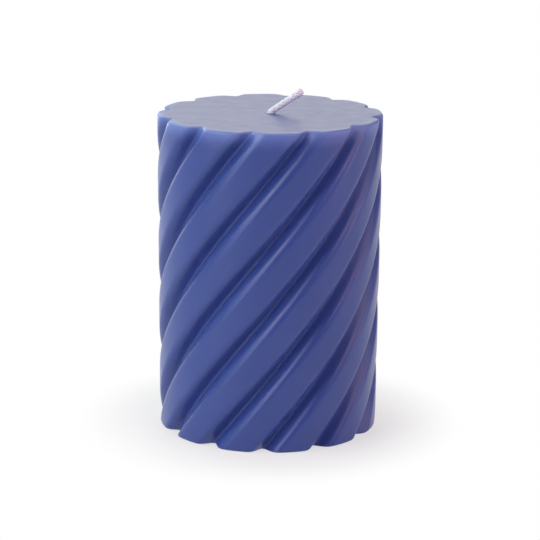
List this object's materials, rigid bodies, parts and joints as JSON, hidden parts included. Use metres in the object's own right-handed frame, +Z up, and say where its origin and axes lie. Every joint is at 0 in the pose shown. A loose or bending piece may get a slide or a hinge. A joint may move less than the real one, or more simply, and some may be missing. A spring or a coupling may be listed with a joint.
{
  "type": "twisted pillar candle",
  "caption": "Moulded wax pillar with thick strands that climb round it in a right-hand twist, a flat top and base, and a braided wick bent over where it leaves the top.",
  "frame": {"origin": "middle of the base, where the wick's axis meets the surface that the candle stands on", "axes": "+Z up along the wick's axis; the picture looks along +Y; the wick's free end leans towards +X and a little towards -Y"},
  "size_m": [0.0704, 0.0704, 0.1083],
  "materials": {
    "wax": "semi-gloss blue paraffin wax, dyed through and slightly translucent",
    "wick_cotton": "white braided cotton, waxed",
    "tinplate": "bright tin-plated steel sheet"
  },
  "bodies": {
    "root": {"wax_body": "wax", "wick": "wick_cotton", "wick_sustainer": "tinplate"}
  },
  "joints": []
}
